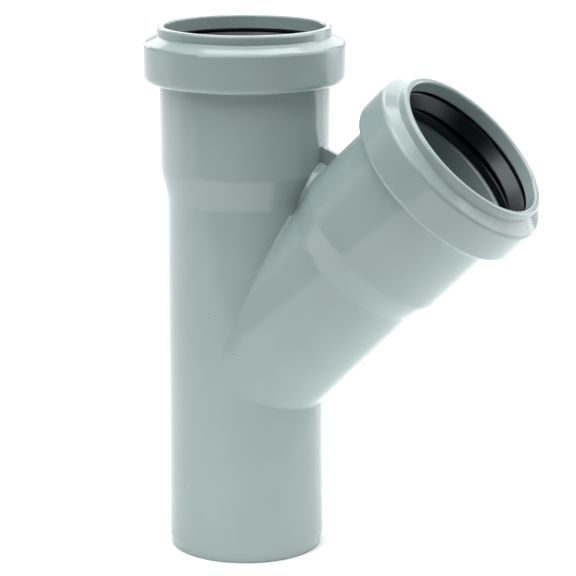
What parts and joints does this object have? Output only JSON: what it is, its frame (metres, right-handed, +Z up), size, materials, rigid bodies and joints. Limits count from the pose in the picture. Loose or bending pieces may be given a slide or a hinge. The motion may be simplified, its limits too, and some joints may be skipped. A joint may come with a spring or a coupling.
{
  "type": "lateral wye pipe fitting",
  "caption": "Push-fit waste pipe branch: a run with a plain spigot below and a collared socket above, and an equal socketed branch leaning out at 45 degrees, each socket with a lip seal",
  "frame": {"origin": "centre of the spigot's end, where the run's axis leaves the fitting", "axes": "+Z up the run's axis from spigot to socket, +X to the side the branch leans to, +Y the third by the right-hand rule; both axes lie in the XZ plane"},
  "size_m": [0.1291, 0.0638, 0.1696],
  "materials": {
    "body": "semi-gloss moulded polypropylene, grey",
    "seal": "matt moulded rubber, black"
  },
  "bodies": {
    "root": {"wye_body": "body", "run_seal_ring": "seal", "branch_seal_ring": "seal"}
  },
  "joints": []
}
